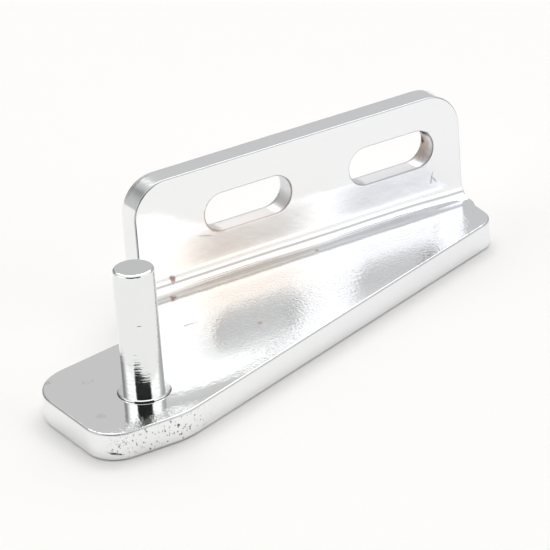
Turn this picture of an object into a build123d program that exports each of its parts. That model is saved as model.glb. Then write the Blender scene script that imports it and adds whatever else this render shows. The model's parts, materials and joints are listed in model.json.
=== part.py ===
from build123d import *
import math
import os

# Pivot bracket of an appliance door, in millimetres: a folded plate and a pin riveted into it.
# X runs along the flange, Y from the foot's front edge to the flange, and Z up.
# The origin is on the pin's axis, level with the top of its shoulder ring, where a bush sits.

# Sheet and its edges: punched from the side that the fold turns outwards,
# so the edges of the outer faces are rolled over and those of the inner faces are crisp
sheet = 5.0
bend_inner_radius = 2.4
outer_edge_radius = 0.7
inner_edge_radius = 0.3

# Flange: places from the pin's axis, height from the foot's upper face
flange_left = 17.5
flange_front = 31.0
flange_height = 20.5
flange_corner_radius = 6.5

# Slots in the flange, with the webs left between them and the flange's ends
slot_count = 2
slot_length = 17.5
slot_width = 7.0
slot_pitch = 29.6
slot_height = 11.3
slot_back_radius = 1.7
left_web = 13.85
right_web = 5.75

# Foot: its outline from the pin's axis
foot_left = 14.25
foot_front = 11.3
knee_offset = 1.6
foot_end_width = 12.15
foot_end_inset = 1.4
foot_end_step = 0.75
foot_end_step_run = 1.7
rear_edge_at_flange = 20.8
rear_edge_at_left = 14.5
front_left_corner_radius = 5.5
rear_left_corner_radius = 9.3
knee_radius = 15.0
right_corner_radius = 5.4
fold_straight = 0.3
end_blend = 0.6

# Pin
pin_diameter = 7.0
pin_height = 22.2
pin_top_radius = 0.5
ring_diameter = 8.8
ring_height = 0.4
ring_edge_chamfer = 0.15
tenon_diameter = 5.0
tail_diameter = 7.0
tail_angle = 90.0

# Levels and lines that follow from them
foot_top = -ring_height
foot_bottom = foot_top - sheet
flange_length = left_web + slot_length + slot_pitch * (slot_count - 1) + right_web
flange_right = flange_left + flange_length
flange_back = flange_front + sheet
fold_start = flange_front - bend_inner_radius
bend_outer_radius = bend_inner_radius + sheet
slot_level = foot_top + slot_height
slot_middle = (flange_left + left_web + flange_right - right_web) / 2
web_middle = flange_left + left_web / 2

# The neck is one arc from the foot's rear edge nearly to the fold
rear_edge_slope = (rear_edge_at_flange - rear_edge_at_left) / (flange_left + foot_left)
neck_angle = math.pi / 2 + math.atan(rear_edge_slope)
neck_radius = (fold_start - fold_straight - rear_edge_at_flange) * math.tan(neck_angle / 2)

# The foot's right end steps in from the fold and then leans, and short arcs take up both turns
foot_end_front = flange_front - foot_end_width
end_turn = fold_start - fold_straight - end_blend
step_turn = end_turn - foot_end_step_run
step_angle = math.atan(foot_end_step / foot_end_step_run)
lean_angle = math.atan((foot_end_inset - foot_end_step) / (step_turn - foot_end_front))
step_blend_radius = end_blend / math.tan(step_angle / 2)
lean_blend_radius = end_blend / math.tan((step_angle - lean_angle) / 2)


def rim(part, *points):
    """The outer edges round the faces nearest to the points, without the seams between those faces."""
    faces = [part.faces().sort_by_distance(point)[0] for point in points]
    edges = [edge for face in faces for edge in face.outer_wire().edges()]
    return ShapeList(edge for edge in edges if edges.count(edge) == 1)


def slot_rims(part, point):
    """The edges round the openings in the face nearest to the point."""
    face = part.faces().sort_by_distance(point)[0]
    return ShapeList(edge for wire in face.inner_wires() for edge in wire.edges())


# Plate: the foot, then the flange along its back, then the fold between them
with BuildPart() as bracket_plate:
    with BuildSketch(Plane.XY.offset(foot_bottom)):
        with BuildLine():
            outline = FilletPolyline(
                (flange_left, flange_back),
                (flange_left, rear_edge_at_flange),
                (-foot_left, rear_edge_at_left),
                (-foot_left, -foot_front),
                (knee_offset, -foot_front),
                (flange_right - foot_end_inset, foot_end_front),
                (flange_right - foot_end_step, step_turn),
                (flange_right, end_turn),
                (flange_right, flange_back),
                radius=(
                    neck_radius,
                    rear_left_corner_radius,
                    front_left_corner_radius,
                    knee_radius,
                    right_corner_radius,
                    lean_blend_radius,
                    step_blend_radius,
                ),
            )
            Line(outline @ 1, outline @ 0)
        make_face()
    extrude(amount=sheet)

    with BuildSketch(Plane.XZ.offset(-flange_front)):
        with Locations((flange_left, foot_top)):
            Rectangle(flange_length, flange_height, align=Align.MIN)
    extrude(amount=-sheet)
    fillet(bracket_plate.edges().filter_by(Axis.Y).group_by(Axis.Z)[-1], flange_corner_radius)

    fold_edges = bracket_plate.edges().filter_by(Axis.X)
    fillet(fold_edges.sort_by_distance((web_middle, flange_front, foot_top))[0], bend_inner_radius)
    fold_edges = bracket_plate.edges().filter_by(Axis.X)
    fillet(fold_edges.sort_by_distance((web_middle, flange_back, foot_bottom))[0], bend_outer_radius)

    with BuildSketch(Plane.XZ.offset(-flange_front)):
        with Locations((slot_middle, slot_level)):
            with GridLocations(slot_pitch, slot_pitch, slot_count, 1):
                SlotOverall(slot_length, slot_width)
    extrude(amount=-sheet, mode=Mode.SUBTRACT)

    # Crisp edges on the faces inside the fold, rolled ones on the faces outside it
    flange_front_face = (web_middle, flange_front, slot_level)
    flange_back_face = (web_middle, flange_back, slot_level)
    inner_rim = rim(bracket_plate, (0, 0, foot_top), (web_middle, flange_front, foot_top), flange_front_face)
    fillet(inner_rim, inner_edge_radius)
    outer_rim = rim(bracket_plate, (0, 0, foot_bottom), (web_middle, flange_back, foot_bottom), flange_back_face)
    fillet(outer_rim, outer_edge_radius)
    fillet(slot_rims(bracket_plate, flange_front_face), inner_edge_radius)
    fillet(slot_rims(bracket_plate, flange_back_face), slot_back_radius)

    # Hole for the pin's tenon, countersunk from below for its riveted tail
    with Locations(Plane(origin=(0, 0, foot_bottom), z_dir=(0, 0, -1))):
        CounterSinkHole(tenon_diameter / 2, tail_diameter / 2, sheet, tail_angle)

# Pin: turned, with a shoulder ring on the foot and a tail spread flush with the underside
tail_height = (tail_diameter - tenon_diameter) / 2 / math.tan(math.radians(tail_angle / 2))
with BuildPart() as pivot_pin:
    with BuildSketch(Plane.XZ):
        with BuildLine():
            Polyline(
                (0, foot_bottom),
                (tail_diameter / 2, foot_bottom),
                (tenon_diameter / 2, foot_bottom + tail_height),
                (tenon_diameter / 2, foot_top),
                (ring_diameter / 2, foot_top),
                (ring_diameter / 2, 0),
                (pin_diameter / 2, 0),
                (pin_diameter / 2, pin_height),
                (0, pin_height),
                close=True,
            )
        make_face()
    revolve(axis=Axis.Z)
    fillet(pivot_pin.edges().group_by(Axis.Z)[-1], pin_top_radius)
    ring_edge = pivot_pin.edges().filter_by(GeomType.CIRCLE).sort_by_distance((ring_diameter / 2, 0, 0))[0]
    chamfer(ring_edge, ring_edge_chamfer)

bracket_plate.part.label = "bracket_plate"
pivot_pin.part.label = "pivot_pin"

os.makedirs("parts", exist_ok=True)
export_step(bracket_plate.part, "parts/bracket_plate.step")
export_step(pivot_pin.part, "parts/pivot_pin.step")
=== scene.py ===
import json
import math

import bpy
from mathutils import Matrix, Vector


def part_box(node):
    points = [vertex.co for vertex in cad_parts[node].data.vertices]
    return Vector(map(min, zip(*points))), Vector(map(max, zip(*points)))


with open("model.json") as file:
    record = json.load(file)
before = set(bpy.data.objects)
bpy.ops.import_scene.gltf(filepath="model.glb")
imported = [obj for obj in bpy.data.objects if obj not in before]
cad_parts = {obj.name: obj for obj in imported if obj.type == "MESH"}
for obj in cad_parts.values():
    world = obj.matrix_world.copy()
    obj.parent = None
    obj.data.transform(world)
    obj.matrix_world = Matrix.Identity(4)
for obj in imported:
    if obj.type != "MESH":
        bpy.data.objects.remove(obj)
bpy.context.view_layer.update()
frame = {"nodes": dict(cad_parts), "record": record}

# Lengths are in millimetres and angles in degrees, where the name doesn't say otherwise
MM = 0.001

# Camera, fitted to the photograph
AIM = (34.6, 14.15, 5.0)
CAMERA_DISTANCE = 755.2
CAMERA_AZIMUTH = 29.82
CAMERA_ELEVATION = 25.23
CAMERA_ROLL = 4.36
CAMERA_LENS = 289.64
CAMERA_REACH_METRES = 20.0

# Studio: a white tent over a square floor
FLOOR_HALF_METRES = 3.0
FLOOR_COLOUR = "#f8f7f5"
# How light the tent is, by height above the floor: brightest at 19 to 28 and at 56, with a dim seam at 42
TENT_LIGHTS = (
    (0, 0.95), (10, 1.0), (19, 1.4), (28, 1.4), (34, 0.95),
    (42, 0.55), (50, 0.9), (56, 1.35), (66, 1.2), (90, 0.75),
)
ZENITH = 90
# Stretches of the tent's wall, each laid over those before: where its middle is round from the camera's side,
# half its width, how gradually its sides begin, where its top is, and its light
WALL_STRETCHES = (
    {"name": "main light over the back", "turn": -168, "half": 45, "soft": 30, "top": 62, "light": 3.15},
    {"name": "grey screen behind", "turn": 180, "half": 80, "soft": 30, "top": 38, "light": 0.6},
    {"name": "dim left corner", "turn": 142, "half": 22, "soft": 18, "top": 32, "light": 0.3},
    {"name": "dim right corner", "turn": -142, "half": 20, "soft": 18, "top": 36, "light": 0.48},
    {"name": "gap for the lens", "turn": 2, "half": 43, "soft": 5, "top": 45, "light": 0.015},
)
TOP_SOFTNESS = 5
BACKDROP_LIGHT = 1.0

# Form of the plate: the record gives its slots, and its box gives the rest. X runs along the flange, Y out
# from the pin to the flange, and Z up
SHEET = 5.0
BEND_RADIUS = 2.4
low, high = (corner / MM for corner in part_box("bracket_plate"))
FLANGE_FRONT = high.y - SHEET
FOOT_TOP = low.z + SHEET
FOLD_OUT = FLANGE_FRONT - BEND_RADIUS
FOLD_UP = FOOT_TOP + BEND_RADIUS
slots = next(mount for mount in frame["record"]["mounts"] if mount["name"] == "screw_slots")
SLOT_MIDDLE = Vector(slots["pos_m"]) / MM
SLOT_PITCH = slots["dims"]["spacing_x_mm"]
SLOT_RADIUS = slots["dims"]["hole_r_mm"]
SLOT_LENGTH = slots["dims"]["slot_length_mm"]
RING_RADIUS = 4.4

# Swell along the fold: its height, the share that it gains at the slots' middles and loses between them, and
# where and how gradually it starts on the foot and ends up the flange
SWELL_HEIGHT = 0.312
SWELL_AT_SLOTS = 0.13
SWELL_START = FOLD_OUT + 0.12
SWELL_START_WIDTH = 0.73
SWELL_END = 0.63
SWELL_END_WIDTH = 1.18
# Crease in the fold, where the swell steps back
CREASE_DEPTH = 0.158
CREASE_LINE = FLANGE_FRONT - 1.41
CREASE_WIDTH = 0.56
# Towards the right end the swell and the crease fade to a share of themselves
FADE_START = 73.0
FADE_END = 83.0
FADE_SHARE = 0.25

# Strip under each slot, which the bending pushed out: between which heights it rises and then sinks again,
# how far beyond the slot's straight middle it reaches, how high it is and how much rougher
LIP_RISES = (2.5, 8.5)
LIP_SINKS = (18.0, 7.0)
LIP_SIDES = (14.0, 0.0)
LIP_HEIGHT = 0.65
LIP_ROUGH = 0.1

# Plating: its colour at the left and at the right, along which stretch it changes, and its roughness
PLATING_LEFT = "#f4f5f4"
PLATING_RIGHT = "#f4f5f8"
PLATING_CHANGES = (10.0, 80.0)
PLATING_ROUGHNESS = 0.075
# A slight ripple of 3 mm, and blotches of 0.6 mm that make the edges of the marks wander
RIPPLE = {"Scale": 1 / 3.0, "Detail": 2.0}
RIPPLE_HEIGHT = 0.02
BLOTCHES = {"Scale": 1 / 0.6, "Detail": 3.0, "Roughness": 0.65}
NOISE_MIDDLE = 0.5

# Surfaces that came from the punch: their colour, how much rougher they are, and between which depths in the
# sheet they begin and end. A slot's wall begins by its distance from the slot's outline and by its Y
# The rims are rougher from the punch, and their darker colour is painted shade that dims their highlights
RIM = {"colour": "#bebfc2", "rough": 0.25, "begins": (0.003, 0.04)}
PUNCHED_EDGE = {"colour": "#f1f2f4", "rough": 0.05, "begins": (0.15, 0.45),
                "ends": (SHEET - 0.35, SHEET - 0.75)}
SLOT_WALL = {"colour": "#dddddf", "rough": 0.14, "begins": (0.35, 0.15),
             "begins_out": (FLANGE_FRONT + 0.1, FLANGE_FRONT + 0.3)}
# Punched walls lean with their depth, and lean more lower down: between these heights, and by up to this much
# for each millimetre
TAPER_HEIGHTS = (14.0, 1.0)
TAPER = 0.06
# The steel tore at this depth and left a ragged step
TEAR_DEPTH = 3.9
TEAR_WIDTH = 0.12
TEAR_STEP = 0.028
TEAR_RAGGED = 0.8

# Grain of the stretched steel, 0.2 mm wide, drawn at 0.4 mm and twice as long from front to back so that it
# shows. It begins to the right of the pin and in front of the fold
GRAIN = {"Scale": 1 / 0.4, "Detail": 2.0}
GRAIN_DRAWN_OUT = (1.0, 0.5, 1.0)
GRAIN_BEGINS = (12.0, 28.0)
GRAIN_BEFORE_FOLD = (FOLD_OUT - 1.0, FOLD_OUT - 7.0)
GRAIN_ROUGH = 0.01
GRAIN_HEIGHT = 0.052
GRAIN_HEIGHT_ELSEWHERE = 0.006
GRAIN_HEIGHT_AT_PITS = 0.11

# Marks on the plate, with one painted dark reflection among them. Each has its middle and half size, its turn
# round Y where it has one, how soft and how ragged its edge is, its colour, how much it covers and how much
# rougher it makes the metal
MARKS = (
    {"name": "peach bloom on the flange", "at": (38.0, FLANGE_FRONT, 4.5), "half": (15.0, 3.0, 6.0),
     "soft": 1.3, "ragged": 0.5, "colour": "#f5ebe2", "cover": 0.6, "rough": 0.03},
    {"name": "peach bloom on the foot", "at": (33.0, 25.5, 0.0), "half": (12.0, 6.5, 3.0),
     "soft": 1.4, "ragged": 0.5, "colour": "#f6eee7", "cover": 0.55, "rough": 0.0},
    {"name": "scratch by the left slot", "at": (31.0, FLANGE_FRONT, 7.45), "half": (1.6, 0.4, 0.13),
     "turn": 16, "soft": 0.6, "ragged": 1.4, "colour": "#c4a491", "cover": 0.5, "rough": 0.2},
    {"name": "brown spot over the fold", "at": (23.8, FLANGE_FRONT, 1.4), "half": (0.55, 0.7, 0.6),
     "soft": 0.9, "ragged": 2.2, "colour": "#8a5246", "cover": 0.75, "rough": 0.3},
    {"name": "long nick under the right slot", "at": (77.8, FLANGE_FRONT, 4.7), "half": (0.16, 0.4, 1.0),
     "turn": 15, "soft": 0.8, "ragged": 2.4, "colour": "#a3a1a8", "cover": 0.7, "rough": 0.3},
    {"name": "short nick under the right slot", "at": (78.3, FLANGE_FRONT, 4.3), "half": (0.14, 0.4, 0.8),
     "turn": -35, "soft": 0.8, "ragged": 2.4, "colour": "#a3a1a8", "cover": 0.7, "rough": 0.3},
    {"name": "brown in the right slot", "at": (77.4, 33.9, 10.4), "half": (1.9, 2.2, 3.2),
     "soft": 0.9, "ragged": 1.6, "colour": "#b9a499", "cover": 0.75, "rough": 0.2},
    {"name": "black in the right slot", "at": (77.0, 33.4, 13.2), "half": (1.8, 2.2, 0.9),
     "soft": 0.7, "ragged": 1.5, "colour": "#241a18", "cover": 0.95, "rough": 0.3},
    {"name": "black blot in the right slot", "at": (77.6, 34.4, 10.8), "half": (1.2, 0.8, 0.9),
     "soft": 0.6, "ragged": 1.2, "colour": "#2a201d", "cover": 0.9, "rough": 0.3},
    {"name": "scratch on the foot", "at": (19.0, 16.8, FOOT_TOP), "half": (1.4, 0.3, 0.5),
     "soft": 0.7, "ragged": 3.4, "colour": "#b9b6b8", "cover": 0.6, "rough": 0.3},
    {"name": "rust fleck on the foot", "at": (28.3, 9.6, FOOT_TOP), "half": (0.4, 0.5, 0.5),
     "soft": 0.9, "ragged": 1.2, "colour": "#a87c66", "cover": 0.7, "rough": 0.3},
    {"name": "fleck in front of the fold", "at": (51.3, 27.9, FOOT_TOP), "half": (0.4, 0.4, 0.5),
     "soft": 0.9, "ragged": 1.6, "colour": "#967c7c", "cover": 0.6, "rough": 0.3},
    {"name": "speck left of the pin", "at": (-5.8, 9.0, FOOT_TOP), "half": (1.0, 0.7, 0.5),
     "soft": 0.7, "ragged": 1.6, "colour": "#b4b4b8", "cover": 0.6, "rough": 0.3},
    {"name": "speck by the left end", "at": (-11.4, 13.0, FOOT_TOP), "half": (0.8, 0.6, 0.5),
     "soft": 0.9, "ragged": 2.4, "colour": "#b9b9bd", "cover": 0.5, "rough": 0.2},
    {"name": "speck by the left front corner", "at": (-10.1, -3.4, FOOT_TOP), "half": (0.8, 0.8, 0.5),
     "soft": 0.9, "ragged": 2.4, "colour": "#b9b9bd", "cover": 0.3, "rough": 0.2},
    # Painted dark reflection, not a mark on the metal: a black line low on the left front corner, for the
    # dark lens gap
    {"name": "painted dark reflection on the front edge", "at": (-12.4, -11.0, -3.85), "half": (1.5, 1.5, 0.22),
     "turn": 12, "soft": 0.6, "ragged": 1.8, "colour": "#171515", "cover": 0.95, "rough": 0.3},
)
PITTED_EDGE = {"name": "pitted front edge", "at": (-3.0, -11.3, -2.9), "half": (11.0, 4.0, 2.6),
               "soft": 0.8, "ragged": 0.8, "colour": "#3a3838", "cover": 1.0}
# The pits are where the blotches pass between these values
PIT_BEGINS = (0.58, 0.65)
RUSTY_RIM = {"name": "rusty rim of the left slot", "at": (31.5, FLANGE_FRONT, 9.3), "half": (3.2, 1.2, 4.2),
             "soft": 0.8, "ragged": 1.4, "colour": "#b98f78", "cover": 0.6, "rough": 0.2}
# The rusty line: how far outside the slot's outline it runs, over which distances from its middle it begins,
# and how much it wanders
RUST_OUT = 0.15
RUST_BEGINS = (0.28, 0.05)
RUST_RAGGED = 0.5
# Painted shade round the pin's ring, a dark line where the ring meets the plate: between which distances from
# the pin's axis it begins
PAINTED_RING_SHADE = {"colour": "#4d4039", "rough": 0.3, "begins": (RING_RADIUS + 0.2, RING_RADIUS + 0.08), "ragged": 0.3}

# Pin: its plating, its tool rings by how many fit in a millimetre across it and up it, and the pits in its
# side. Real rings are 0.1 mm apart, and these are 0.4 mm so that they show
PIN_COLOUR = "#eceeee"
PIN_ROUGHNESS = 0.1
PIN_BLOTCHES = {"Scale": 1 / 0.5, "Detail": 2.0}
PIN_BLOTCH_HEIGHT = 0.012
TOOL_RINGS_PER_MM = (0.3, 0.3, 2.4)
TOOL_RINGS = {"Scale": 1.0, "Detail": 2.0}
TOOL_RING_HEIGHT = 0.045
PIN_PITS = ((-2.9, -1.9, 15.4), (-0.1, -3.5, 16.4), (-1.2, -3.3, 11.7), (-1.5, -3.2, 13.6), (1.1, -3.3, 14.5))
PIN_PIT = {"name": "pit in the pin", "half": (0.5, 0.5, 0.5), "soft": 1.0, "ragged": 1.2, "cover": 1.0}
PIN_PIT_DEPTH = 0.045


def linear(hex_colour):
    """An sRGB hex colour as the linear values that shaders take."""
    parts = [int(hex_colour[i : i + 2], 16) / 255 for i in (1, 3, 5)]
    return [c / 12.92 if c <= 0.04045 else ((c + 0.055) / 1.055) ** 2.4 for c in parts] + [1.0]


def add_node(tree, kind, inputs=(), output=0, **settings):
    """
    Adds a shader node and sets its properties. Its inputs are numbers or other nodes' outputs, in the order
    of the sockets in use or by their names. Returns the output that is asked for.
    """
    node = tree.nodes.new("ShaderNode" + kind)
    for name, value in settings.items():
        setattr(node, name, value)
    in_use = [socket for socket in node.inputs if socket.enabled]
    pairs = inputs.items() if isinstance(inputs, dict) else enumerate(inputs)
    for key, value in pairs:
        socket = node.inputs[key] if isinstance(key, str) else in_use[key]
        if isinstance(value, bpy.types.NodeSocket):
            tree.links.new(value, socket)
        else:
            socket.default_value = value
    return [socket for socket in node.outputs if socket.enabled][output]


def add_camera():
    """Looks along a line that is turned round Z, tipped down and rolled, and meets the aim point."""
    azimuth, elevation = math.radians(CAMERA_AZIMUTH), math.radians(CAMERA_ELEVATION)
    level = math.cos(elevation)
    forward = Vector((math.sin(azimuth) * level, math.cos(azimuth) * level, -math.sin(elevation)))
    turn = forward.to_track_quat("-Z", "Y").to_matrix() @ Matrix.Rotation(math.radians(-CAMERA_ROLL), 3, "Z")
    camera = bpy.data.objects.new("camera", bpy.data.cameras.new("camera"))
    bpy.context.scene.collection.objects.link(camera)
    camera.data.lens = CAMERA_LENS
    camera.data.clip_end = CAMERA_REACH_METRES
    place = (Vector(AIM) - CAMERA_DISTANCE * forward) * MM
    camera.matrix_world = Matrix.Translation(place) @ turn.to_4x4()
    bpy.context.scene.camera = camera


def add_floor():
    """A level square under the foot, of matt white paper: a warm white without any gloss."""
    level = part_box("bracket_plate")[0].z
    half = FLOOR_HALF_METRES
    corners = [(x * half, y * half, level) for x, y in ((-1, -1), (1, -1), (1, 1), (-1, 1))]
    mesh = bpy.data.meshes.new("floor")
    mesh.from_pydata(corners, [], [(0, 1, 2, 3)])
    floor = bpy.data.objects.new("floor", mesh)
    bpy.context.scene.collection.objects.link(floor)
    material = bpy.data.materials.new("matt_white_paper")
    material.use_nodes = True
    shader = material.node_tree.nodes["Principled BSDF"]
    shader.inputs["Base Color"].default_value = linear(FLOOR_COLOUR)
    shader.inputs["Roughness"].default_value = 1.0
    shader.inputs["Specular IOR Level"].default_value = 0.0
    mesh.materials.append(material)


def tent_light(tree, height):
    """How light the tent is at a height above the floor, in radians: straight lines between TENT_LIGHTS."""
    brightest = max(light for angle, light in TENT_LIGHTS)
    share = add_node(tree, "Math", (height, 1 / math.radians(ZENITH)), operation="MULTIPLY")
    curve = add_node(tree, "FloatCurve", {"Value": share}).node
    points = curve.mapping.curves[0].points
    while len(points) < len(TENT_LIGHTS):
        points.new(0.5, 0.5)
    for point, (angle, light) in zip(points, TENT_LIGHTS):
        point.location = (angle / ZENITH, light / brightest)
        point.handle_type = "VECTOR"
    curve.mapping.update()
    return add_node(tree, "Math", (curve.outputs[0], brightest), operation="MULTIPLY")


def within(tree, angle, limit, softness):
    """1 where the angle, in radians, is under the limit and 0 over it, with a soft change between."""
    start, end = math.radians(limit + softness / 2), math.radians(limit - softness / 2)
    return add_node(tree, "MapRange", (angle, start, end), interpolation_type="SMOOTHSTEP")


def light_studio():
    """
    The world as a tent: a direction's height above the floor picks its light, and its heading picks the
    stretch of the wall that it meets. The main light is high at the back, so the shadows fall to the front.
    The camera itself sees a plain white backdrop.
    """
    world = bpy.data.worlds.new("studio")
    bpy.context.scene.world = world
    world.use_nodes = True
    tree = world.node_tree
    direction = add_node(tree, "TexCoord", output=0)
    height = add_node(tree, "SeparateXYZ", (direction,), output=2)
    height = add_node(tree, "Math", (height,), operation="ARCSINE")
    level = add_node(tree, "VectorMath", (direction, (1.0, 1.0, 0.0)), operation="MULTIPLY")
    level = add_node(tree, "VectorMath", (level,), operation="NORMALIZE")

    light = tent_light(tree, height)
    for stretch in WALL_STRETCHES:
        heading = math.radians(CAMERA_AZIMUTH + 180 + stretch["turn"])
        middle = (math.sin(heading), math.cos(heading), 0.0)
        angle = add_node(tree, "VectorMath", (level, middle), operation="DOT_PRODUCT")
        angle = add_node(tree, "Math", (angle,), operation="ARCCOSINE")
        sides = within(tree, angle, stretch["half"], stretch["soft"])
        top = within(tree, height, stretch["top"], TOP_SOFTNESS)
        share = add_node(tree, "Math", (sides, top), operation="MULTIPLY")
        light = add_node(
            tree, "Mix", (share, light, stretch["light"]), data_type="FLOAT", label=stretch["name"]
        )
    seen = add_node(tree, "LightPath", output=0)
    light = add_node(tree, "Mix", (seen, light, BACKDROP_LIGHT), data_type="FLOAT")
    tree.links.new(light, tree.nodes["Background"].inputs["Strength"])
    tree.nodes["Background"].inputs["Color"].default_value = (1.0, 1.0, 1.0, 1.0)


def patch(tree, place, mark, wander):
    """
    How much a point lies within a mark: 1 inside an ellipsoid and 0 outside it, with a soft edge. The wander
    pattern pushes the edge in and out.
    """
    turn = (0.0, math.radians(mark.get("turn", 0.0)), 0.0)
    inside = add_node(
        tree, "Mapping", (place, mark["at"], turn, mark["half"]), vector_type="TEXTURE", label=mark["name"]
    )
    reach = add_node(tree, "VectorMath", (inside,), operation="LENGTH")
    reach = add_node(tree, "Math", (wander, mark["ragged"], reach), operation="MULTIPLY_ADD")
    start, end = 1.0 + mark["soft"] / 2, 1.0 - mark["soft"] / 2
    share = add_node(tree, "MapRange", (reach, start, end), interpolation_type="SMOOTHSTEP")
    return add_node(tree, "Math", (share, mark["cover"]), operation="MULTIPLY")


def rise(tree, value, middle, width):
    """A smooth step from -1 to 1 about a middle value: tanh of the distance from it over the width."""
    share = add_node(tree, "Math", (value, 1 / width, -middle / width), operation="MULTIPLY_ADD")
    return add_node(tree, "Math", (share,), operation="TANH")


def sheet_depth(tree, out, up):
    """
    How deep a point of the plate lies in its sheet, from the faces inside the fold: the length of what it
    lies beyond the fold's axis, back and down, less the bend radius.
    """
    back = add_node(tree, "Math", (out, FOLD_OUT), operation="SUBTRACT")
    back = add_node(tree, "Math", (back, 0.0), operation="MAXIMUM")
    down = add_node(tree, "Math", (FOLD_UP, up), operation="SUBTRACT")
    down = add_node(tree, "Math", (down, 0.0), operation="MAXIMUM")
    reach = add_node(tree, "CombineXYZ", (back, down, 0.0))
    reach = add_node(tree, "VectorMath", (reach,), operation="LENGTH")
    return add_node(tree, "Math", (reach, BEND_RADIUS), operation="SUBTRACT")


def fold_form(tree, along, out, up):
    """
    How the bending drew the metal, as a height: it swells gently towards the fold from both sides, more under
    the slots, and inside the fold a sharper step takes the swell back.
    """
    phase = 2 * math.pi / SLOT_PITCH
    left_slot = SLOT_MIDDLE.x - SLOT_PITCH / 2
    wave = add_node(tree, "Math", (along, phase, -phase * left_slot), operation="MULTIPLY_ADD")
    wave = add_node(tree, "Math", (wave,), operation="COSINE")
    wave = add_node(tree, "Math", (wave, SWELL_AT_SLOTS, 1.0), operation="MULTIPLY_ADD")
    fade = add_node(
        tree, "MapRange", (along, FADE_END, FADE_START, FADE_SHARE, 1.0), interpolation_type="SMOOTHSTEP"
    )
    above = rise(tree, up, SWELL_END, SWELL_END_WIDTH)
    above = add_node(tree, "Math", (1.0, above), operation="SUBTRACT")
    behind = rise(tree, out, SWELL_START, SWELL_START_WIDTH)
    behind = add_node(tree, "Math", (behind, 1.0), operation="ADD")
    swell = add_node(tree, "Math", (above, behind), operation="MULTIPLY")
    swell = add_node(tree, "Math", (swell, wave), operation="MULTIPLY")
    swell = add_node(tree, "Math", (swell, fade), operation="MULTIPLY")
    # The product of two steps from 0 to 2 reaches 4, and the crease is a step from -1 to 1
    swell = add_node(tree, "Math", (swell, SWELL_HEIGHT / 4), operation="MULTIPLY")
    crease = rise(tree, out, CREASE_LINE, CREASE_WIDTH)
    crease = add_node(tree, "Math", (crease, fade), operation="MULTIPLY")
    return add_node(tree, "Math", (crease, -CREASE_DEPTH / 2, swell), operation="MULTIPLY_ADD")


def beyond_slot(tree, along):
    """How far a point lies past the straight middle of the nearer slot, to its left or right."""
    distance = add_node(tree, "Math", (along, SLOT_MIDDLE.x), operation="SUBTRACT")
    distance = add_node(tree, "Math", (distance,), operation="ABSOLUTE")
    distance = add_node(tree, "Math", (distance, SLOT_PITCH / 2), operation="SUBTRACT")
    distance = add_node(tree, "Math", (distance,), operation="ABSOLUTE")
    distance = add_node(tree, "Math", (distance, SLOT_LENGTH / 2 - SLOT_RADIUS), operation="SUBTRACT")
    return add_node(tree, "Math", (distance, 0.0), operation="MAXIMUM")


def slot_outline(tree, beyond, up):
    """How far a point lies outside the nearer slot: its distance from the middle line, less the radius."""
    aside = add_node(tree, "Math", (up, SLOT_MIDDLE.z), operation="SUBTRACT")
    distance = add_node(tree, "CombineXYZ", (beyond, aside, 0.0))
    distance = add_node(tree, "VectorMath", (distance,), operation="LENGTH")
    return add_node(tree, "Math", (distance, SLOT_RADIUS), operation="SUBTRACT")


def slot_lip(tree, beyond, up):
    """How much a point belongs to the strip under a slot: most near the slot's lower edge."""
    below = add_node(tree, "MapRange", (up, *LIP_RISES))
    above = add_node(tree, "MapRange", (up, *LIP_SINKS), interpolation_type="SMOOTHSTEP")
    sides = add_node(tree, "MapRange", (beyond, *LIP_SIDES), interpolation_type="SMOOTHSTEP")
    lip = add_node(tree, "Math", (below, above), operation="MULTIPLY")
    return add_node(tree, "Math", (lip, sides), operation="MULTIPLY")


def rust_line(tree, place, outline, wander):
    """How much a point lies on the rusty line that follows the left slot's lower left rim."""
    line = add_node(tree, "Math", (wander, RUST_RAGGED, outline), operation="MULTIPLY_ADD")
    line = add_node(tree, "Math", (line, RUST_OUT), operation="SUBTRACT")
    line = add_node(tree, "Math", (line,), operation="ABSOLUTE")
    line = add_node(tree, "MapRange", (line, *RUST_BEGINS), interpolation_type="SMOOTHSTEP")
    share = patch(tree, place, RUSTY_RIM, wander)
    return add_node(tree, "Math", (line, share), operation="MULTIPLY")


def ring_shade_line(tree, along, out, wander):
    """How much a point lies in the dark line of painted shade round the pin's ring, where the ring meets the
    plate.
    """
    reach = add_node(tree, "CombineXYZ", (along, out, 0.0))
    reach = add_node(tree, "VectorMath", (reach,), operation="LENGTH")
    reach = add_node(tree, "Math", (wander, PAINTED_RING_SHADE["ragged"], reach), operation="MULTIPLY_ADD")
    return add_node(tree, "MapRange", (reach, *PAINTED_RING_SHADE["begins"]), interpolation_type="SMOOTHSTEP")


def new_metal(name):
    """A material whose shader is bare metal, with its nodes, its shader and the place on the piece."""
    material = bpy.data.materials.new(name)
    material.use_nodes = True
    tree = material.node_tree
    shader = tree.nodes["Principled BSDF"]
    shader.inputs["Metallic"].default_value = 1.0
    place = add_node(tree, "TexCoord", output=3)
    place = add_node(tree, "VectorMath", (place, 1 / MM), operation="SCALE")
    return material, tree, shader, place


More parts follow.
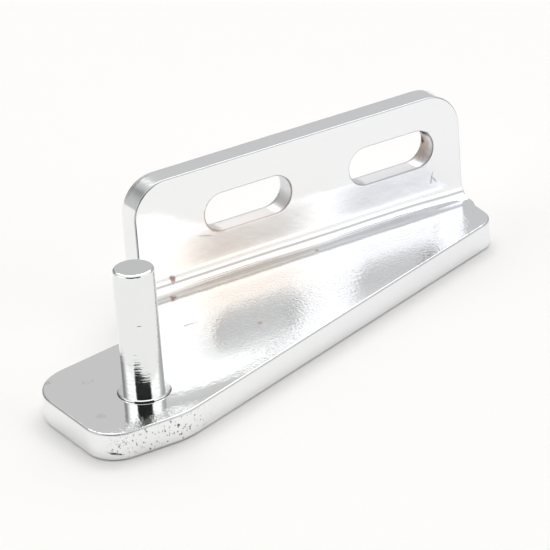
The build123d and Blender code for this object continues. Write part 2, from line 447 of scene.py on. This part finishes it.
def plated_sheet():
    """
    Bright nickel and chrome on punched and folded steel. The plating is a mirror with a slight ripple,
    neutral at the left and a little bluish at the right. Where the bending stretched the steel it is grainy.
    The punched edges are rougher, with a ragged line where the steel tore, and the slots' walls are greyer.
    Old rust has bloomed through at the fold and the slots.
    """
    material, tree, shader, place = new_metal("nickel_chrome_on_punched_sheet")
    along, out, up = (add_node(tree, "SeparateXYZ", (place,), output=axis) for axis in range(3))
    ripple = add_node(tree, "TexNoise", {"Vector": place, **RIPPLE})
    drawn_out = add_node(tree, "VectorMath", (place, GRAIN_DRAWN_OUT), operation="MULTIPLY")
    grain = add_node(tree, "TexNoise", {"Vector": drawn_out, **GRAIN})
    blotch = add_node(tree, "TexNoise", {"Vector": place, **BLOTCHES})
    wander = add_node(tree, "Math", (blotch, NOISE_MIDDLE), operation="SUBTRACT")

    depth = sheet_depth(tree, out, up)
    edge = add_node(tree, "MapRange", (depth, *PUNCHED_EDGE["begins"]))
    # Painted shade on the rims: their darker colour dims the highlights on them
    rim = add_node(tree, "MapRange", (depth, *RIM["begins"]))
    rim = add_node(tree, "Math", (rim, edge), operation="SUBTRACT")
    far_edge = add_node(tree, "MapRange", (depth, *PUNCHED_EDGE["ends"]))
    edge = add_node(tree, "Math", (edge, far_edge), operation="MULTIPLY")
    blotched_edge = add_node(tree, "Math", (edge, blotch), operation="MULTIPLY")
    beyond = beyond_slot(tree, along)
    outline = slot_outline(tree, beyond, up)
    wall = add_node(tree, "MapRange", (outline, *SLOT_WALL["begins"]))
    behind = add_node(tree, "MapRange", (out, *SLOT_WALL["begins_out"]))
    wall = add_node(tree, "Math", (wall, behind), operation="MULTIPLY")
    lip = slot_lip(tree, beyond, up)
    stretched = add_node(tree, "MapRange", (along, *GRAIN_BEGINS), interpolation_type="SMOOTHSTEP")
    pitted = patch(tree, place, PITTED_EDGE, wander)

    share = add_node(tree, "MapRange", (along, *PLATING_CHANGES))
    colour = add_node(tree, "Mix", (share, linear(PLATING_LEFT), linear(PLATING_RIGHT)), data_type="RGBA")
    for share, surface in ((blotched_edge, PUNCHED_EDGE), (wall, SLOT_WALL), (rim, RIM)):
        colour = add_node(tree, "Mix", (share, colour, linear(surface["colour"])), data_type="RGBA")
    roughness = PLATING_ROUGHNESS
    for share, rough in (
        (stretched, GRAIN_ROUGH),
        (edge, PUNCHED_EDGE["rough"]),
        (wall, SLOT_WALL["rough"]),
        (rim, RIM["rough"]),
        (lip, LIP_ROUGH),
    ):
        roughness = add_node(tree, "Math", (share, rough, roughness), operation="MULTIPLY_ADD")

    for mark in MARKS:
        share = patch(tree, place, mark, wander)
        colour = add_node(tree, "Mix", (share, colour, linear(mark["colour"])), data_type="RGBA")
        roughness = add_node(tree, "Math", (share, mark["rough"], roughness), operation="MULTIPLY_ADD")
    pits = add_node(tree, "MapRange", (blotch, *PIT_BEGINS))
    pits = add_node(tree, "Math", (pits, pitted), operation="MULTIPLY")
    colour = add_node(tree, "Mix", (pits, colour, linear(PITTED_EDGE["colour"])), data_type="RGBA")
    rust = rust_line(tree, place, outline, wander)
    # Painted shade: the dark line round the pin's ring, where the ring meets the plate
    ring_shade = ring_shade_line(tree, along, out, wander)
    for share, line in ((rust, RUSTY_RIM), (ring_shade, PAINTED_RING_SHADE)):
        colour = add_node(tree, "Mix", (share, colour, linear(line["colour"])), data_type="RGBA")
        roughness = add_node(tree, "Math", (share, line["rough"], roughness), operation="MULTIPLY_ADD")

    flat = add_node(tree, "MapRange", (out, *GRAIN_BEFORE_FOLD), interpolation_type="SMOOTHSTEP")
    grained = add_node(tree, "Math", (stretched, flat), operation="MULTIPLY")
    coarse = add_node(tree, "Math", (grained, GRAIN_HEIGHT, GRAIN_HEIGHT_ELSEWHERE), operation="MULTIPLY_ADD")
    coarse = add_node(tree, "Math", (pitted, GRAIN_HEIGHT_AT_PITS, coarse), operation="MULTIPLY_ADD")
    taper = add_node(tree, "MapRange", (up, *TAPER_HEIGHTS, 0.0, TAPER))
    tear = add_node(tree, "Math", (wander, TEAR_RAGGED, depth), operation="MULTIPLY_ADD")
    tear = rise(tree, tear, TEAR_DEPTH, TEAR_WIDTH)
    height = fold_form(tree, along, out, up)
    for share, size in (
        (ripple, RIPPLE_HEIGHT),
        (grain, coarse),
        (lip, LIP_HEIGHT),
        (taper, depth),
        (tear, -TEAR_STEP / 2),
    ):
        height = add_node(tree, "Math", (share, size, height), operation="MULTIPLY_ADD")
    bump = add_node(tree, "Bump", {"Height": height, "Strength": 1.0, "Distance": MM})
    tree.links.new(colour, shader.inputs["Base Color"])
    tree.links.new(roughness, shader.inputs["Roughness"])
    tree.links.new(bump, shader.inputs["Normal"])
    return material


def plated_pin():
    """
    Bright nickel and chrome on turned steel: a mirror with fine rings round it from the tool, and a few pits.
    """
    material, tree, shader, place = new_metal("nickel_chrome_on_turned_pin")
    ripple = add_node(tree, "TexNoise", {"Vector": place, **RIPPLE})
    turned = add_node(tree, "VectorMath", (place, TOOL_RINGS_PER_MM), operation="MULTIPLY")
    rings = add_node(tree, "TexNoise", {"Vector": turned, **TOOL_RINGS})
    blotch = add_node(tree, "TexNoise", {"Vector": place, **PIN_BLOTCHES})
    wander = add_node(tree, "Math", (blotch, NOISE_MIDDLE), operation="SUBTRACT")
    height = add_node(tree, "Math", (ripple, RIPPLE_HEIGHT), operation="MULTIPLY")
    for share, size in ((blotch, PIN_BLOTCH_HEIGHT), (rings, TOOL_RING_HEIGHT)):
        height = add_node(tree, "Math", (share, size, height), operation="MULTIPLY_ADD")
    for at in PIN_PITS:
        share = patch(tree, place, {**PIN_PIT, "at": at}, wander)
        height = add_node(tree, "Math", (share, -PIN_PIT_DEPTH, height), operation="MULTIPLY_ADD")
    bump = add_node(tree, "Bump", {"Height": height, "Strength": 1.0, "Distance": MM})
    shader.inputs["Base Color"].default_value = linear(PIN_COLOUR)
    shader.inputs["Roughness"].default_value = PIN_ROUGHNESS
    tree.links.new(bump, shader.inputs["Normal"])
    return material


add_camera()
add_floor()
light_studio()
frame["nodes"]["bracket_plate"].material_slots[0].material = plated_sheet()
frame["nodes"]["pivot_pin"].material_slots[0].material = plated_pin()

bpy.context.scene.view_settings.view_transform = "Standard"
